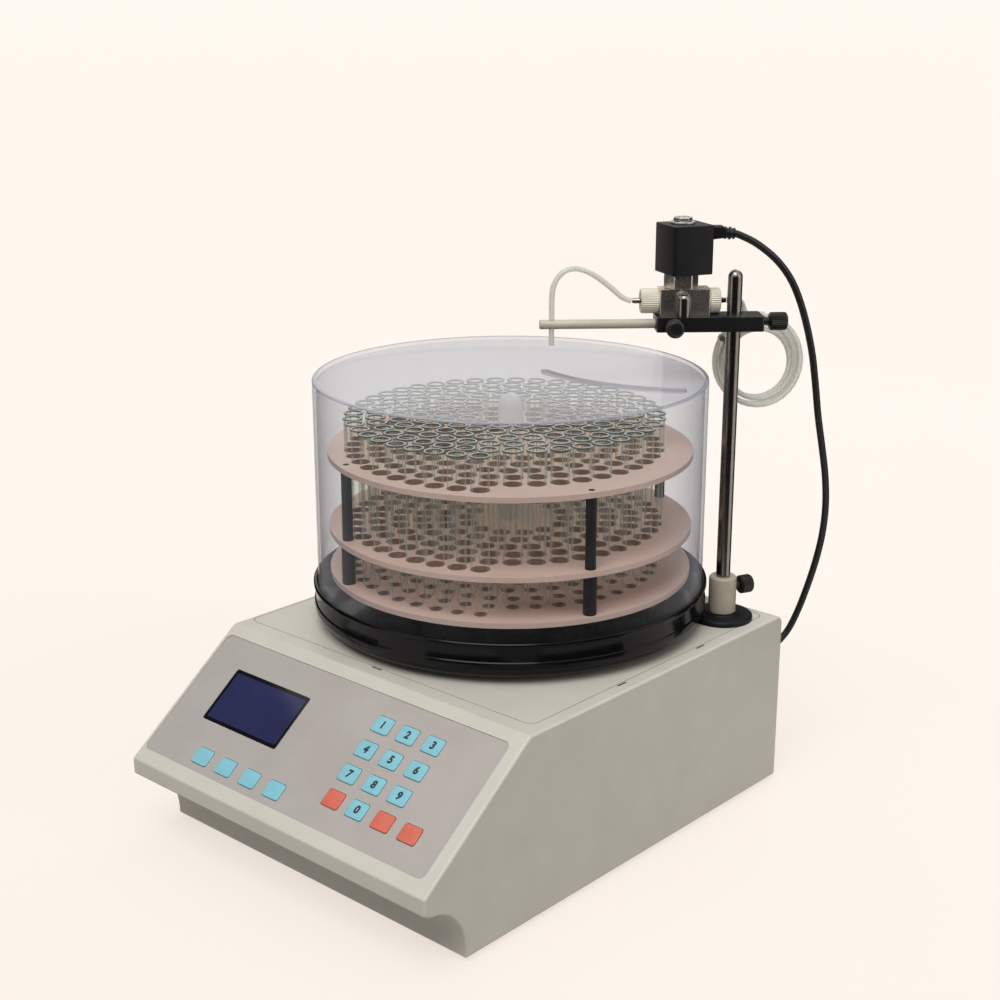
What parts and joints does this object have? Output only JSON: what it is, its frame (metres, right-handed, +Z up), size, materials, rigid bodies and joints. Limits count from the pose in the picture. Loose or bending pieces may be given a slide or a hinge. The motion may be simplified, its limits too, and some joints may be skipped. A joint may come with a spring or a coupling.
{
  "type": "fraction collector",
  "caption": "Bench fraction collector: keypad case, spiral test-tube rack under a clear slotted cover, swinging mast with clamp, valve and drip arm.",
  "frame": {"origin": "middle of the footprint, on the surface that the feet stand on", "axes": "+X to the right along the front, +Y to the back, +Z up"},
  "size_m": [0.3613, 0.5059, 0.5007],
  "materials": {
    "cream_paint": "fine textured satin",
    "overlay_film": "matt film",
    "display": "gloss",
    "key_blue": "semi-gloss",
    "key_red": "semi-gloss",
    "zinc_steel": "zinc plated",
    "rubber": "matt",
    "circuit_board": "solder mask",
    "laminated_core": "varnished",
    "black_plastic": "fine matt",
    "knob_plastic": "knurled satin",
    "gloss_black": "gloss",
    "aluminium": "turned",
    "polished_steel": "polished",
    "cream_plastic": "satin",
    "disc_plastic": "satin",
    "tube_glass": "clear",
    "clear_acrylic": "polished clear",
    "black_anodised": "matt black anodised",
    "nickel": "satin nickel plated",
    "ivory_plastic": "satin",
    "soft_tube": "translucent silicone",
    "cable_rubber": "satin"
  },
  "bodies": {
    "case": {"case_shell": "cream_paint", "top_plate": "cream_paint", "base_plate": "zinc_steel", "rubber_feet": "rubber", "panel_overlay": "overlay_film", "display_window": "display", "control_board": "circuit_board", "power_transformer": "laminated_core", "power_inlet": "black_plastic", "case_screws": "zinc_steel", "spill_dish": "gloss_black", "spindle_housing": "aluminium", "drive_motors": "black_plastic", "mast_bearing": "gloss_black", "cable_gland": "black_plastic", "valve_cable": "cable_rubber"},
    "switch": {"power_switch": "black_plastic"},
    "spindle": {"spindle": "polished_steel", "drive_gear": "cream_plastic"},
    "pinion": {"drive_pinion": "cream_plastic"},
    "rack": {"upper_disc": "disc_plastic", "middle_disc": "disc_plastic", "lower_disc": "disc_plastic", "rack_posts": "black_plastic", "rack_handle": "disc_plastic", "test_tubes": "tube_glass"},
    "cover": {"clear_cover": "clear_acrylic"},
    "mast": {"mast_socket": "cream_plastic", "mast_rod": "polished_steel"},
    "mast_knob": {"mast_screw": "knob_plastic"},
    "head": {"clamp_bar": "black_anodised", "valve_body": "nickel", "solenoid_coil": "black_plastic", "knurled_nuts": "ivory_plastic", "hose_barbs": "polished_steel", "inlet_tube": "soft_tube", "inlet_coil": "soft_tube"},
    "clamp_knob": {"clamp_screw": "knob_plastic"},
    "arm_knob": {"arm_screw": "knob_plastic"},
    "plunger": {"valve_plunger": "polished_steel"},
    "arm": {"drip_arm": "cream_plastic", "drip_tube": "soft_tube"},
    "key_0": {"key_0": "key_blue"},
    "key_1": {"key_1": "key_blue"},
    "key_2": {"key_2": "key_blue"},
    "key_3": {"key_3": "key_blue"},
    "key_4": {"key_4": "key_blue"},
    "key_5": {"key_5": "key_blue"},
    "key_6": {"key_6": "key_blue"},
    "key_7": {"key_7": "key_blue"},
    "key_8": {"key_8": "key_blue"},
    "key_9": {"key_9": "key_blue"},
    "function_key_1": {"function_key_1": "key_blue"},
    "function_key_2": {"function_key_2": "key_blue"},
    "function_key_3": {"function_key_3": "key_blue"},
    "function_key_4": {"function_key_4": "key_blue"},
    "red_key_1": {"red_key_1": "key_red"},
    "red_key_2": {"red_key_2": "key_red"},
    "red_key_3": {"red_key_3": "key_red"}
  },
  "joints": [
    {"name": "rack_spin", "type": "hinge", "parent": "case", "child": "spindle", "pos_m": [-0.00675, 0.062, 0.0035], "axis": [0, 0, 1], "continuous": true},
    {"name": "pinion_spin", "type": "hinge", "parent": "case", "child": "pinion", "pos_m": [-0.05961, 0.04276, 0.0035], "axis": [0, 0, 1], "continuous": true},
    {"name": "rack_lift", "type": "slide", "parent": "spindle", "child": "rack", "axis": [0, 0, 1], "range_m": [0, 0.01]},
    {"name": "cover_lift", "type": "slide", "parent": "case", "child": "cover", "axis": [0, 0, 1], "range_m": [0, 0.02]},
    {"name": "mast_swing", "type": "hinge", "parent": "case", "child": "mast", "pos_m": [0.1402, 0.17273, 0.0035], "axis": [0, 0, 1], "range_deg": [-6, 40], "deforming": ["valve_cable", "inlet_coil"]},
    {"name": "mast_knob_turn", "type": "hinge", "parent": "mast", "child": "mast_knob", "pos_m": [0.1402, 0.17273, 0.1835], "axis": [0.4067, 0.9135, 0], "range_deg": [0, 360]},
    {"name": "head_height", "type": "slide", "parent": "mast", "child": "head", "axis": [0, 0, 1], "range_m": [0, 0.015]},
    {"name": "clamp_knob_turn", "type": "hinge", "parent": "head", "child": "clamp_knob", "pos_m": [0.1402, 0.17273, 0.4155], "axis": [0.7071, 0.7071, 0], "range_deg": [0, 360]},
    {"name": "arm_knob_turn", "type": "hinge", "parent": "head", "child": "arm_knob", "pos_m": [0.10343, 0.13596, 0.4145], "axis": [0.7071, -0.7071, 0], "range_deg": [0, 360]},
    {"name": "arm_slide", "type": "slide", "parent": "head", "child": "arm", "axis": [-0.7071, -0.7071, 0], "range_m": [-0.008, 0.008], "deforming": ["drip_tube"]},
    {"name": "valve_lift", "type": "slide", "parent": "head", "child": "plunger", "axis": [0, 0, 1], "range_m": [0, 0.0012], "stiffness_N_per_m": 2000},
    {"name": "switch_rock", "type": "hinge", "parent": "case", "child": "switch", "pos_m": [-0.05475, 0.2115, 0.0485], "axis": [-1, 0, 0], "range_deg": [0, 20]},
    {"name": "key_0_press", "type": "slide", "parent": "case", "child": "key_0", "axis": [0, 0.6121, -0.7908], "range_m": [0, 0.0008], "stiffness_N_per_m": 3000},
    {"name": "key_1_press", "type": "slide", "parent": "case", "child": "key_1", "axis": [0, 0.6121, -0.7908], "range_m": [0, 0.0008], "stiffness_N_per_m": 3000},
    {"name": "key_2_press", "type": "slide", "parent": "case", "child": "key_2", "axis": [0, 0.6121, -0.7908], "range_m": [0, 0.0008], "stiffness_N_per_m": 3000},
    {"name": "key_3_press", "type": "slide", "parent": "case", "child": "key_3", "axis": [0, 0.6121, -0.7908], "range_m": [0, 0.0008], "stiffness_N_per_m": 3000},
    {"name": "key_4_press", "type": "slide", "parent": "case", "child": "key_4", "axis": [0, 0.6121, -0.7908], "range_m": [0, 0.0008], "stiffness_N_per_m": 3000},
    {"name": "key_5_press", "type": "slide", "parent": "case", "child": "key_5", "axis": [0, 0.6121, -0.7908], "range_m": [0, 0.0008], "stiffness_N_per_m": 3000},
    {"name": "key_6_press", "type": "slide", "parent": "case", "child": "key_6", "axis": [0, 0.6121, -0.7908], "range_m": [0, 0.0008], "stiffness_N_per_m": 3000},
    {"name": "key_7_press", "type": "slide", "parent": "case", "child": "key_7", "axis": [0, 0.6121, -0.7908], "range_m": [0, 0.0008], "stiffness_N_per_m": 3000},
    {"name": "key_8_press", "type": "slide", "parent": "case", "child": "key_8", "axis": [0, 0.6121, -0.7908], "range_m": [0, 0.0008], "stiffness_N_per_m": 3000},
    {"name": "key_9_press", "type": "slide", "parent": "case", "child": "key_9", "axis": [0, 0.6121, -0.7908], "range_m": [0, 0.0008], "stiffness_N_per_m": 3000},
    {"name": "function_key_1_press", "type": "slide", "parent": "case", "child": "function_key_1", "axis": [0, 0.6121, -0.7908], "range_m": [0, 0.0008], "stiffness_N_per_m": 3000},
    {"name": "function_key_2_press", "type": "slide", "parent": "case", "child": "function_key_2", "axis": [0, 0.6121, -0.7908], "range_m": [0, 0.0008], "stiffness_N_per_m": 3000},
    {"name": "function_key_3_press", "type": "slide", "parent": "case", "child": "function_key_3", "axis": [0, 0.6121, -0.7908], "range_m": [0, 0.0008], "stiffness_N_per_m": 3000},
    {"name": "function_key_4_press", "type": "slide", "parent": "case", "child": "function_key_4", "axis": [0, 0.6121, -0.7908], "range_m": [0, 0.0008], "stiffness_N_per_m": 3000},
    {"name": "red_key_1_press", "type": "slide", "parent": "case", "child": "red_key_1", "axis": [0, 0.6121, -0.7908], "range_m": [0, 0.0008], "stiffness_N_per_m": 3000},
    {"name": "red_key_2_press", "type": "slide", "parent": "case", "child": "red_key_2", "axis": [0, 0.6121, -0.7908], "range_m": [0, 0.0008], "stiffness_N_per_m": 3000},
    {"name": "red_key_3_press", "type": "slide", "parent": "case", "child": "red_key_3", "axis": [0, 0.6121, -0.7908], "range_m": [0, 0.0008], "stiffness_N_per_m": 3000}
  ],
  "couplings": [
    {"joint": "pinion_spin", "follows": "rack_spin", "ratio": -4}
  ]
}
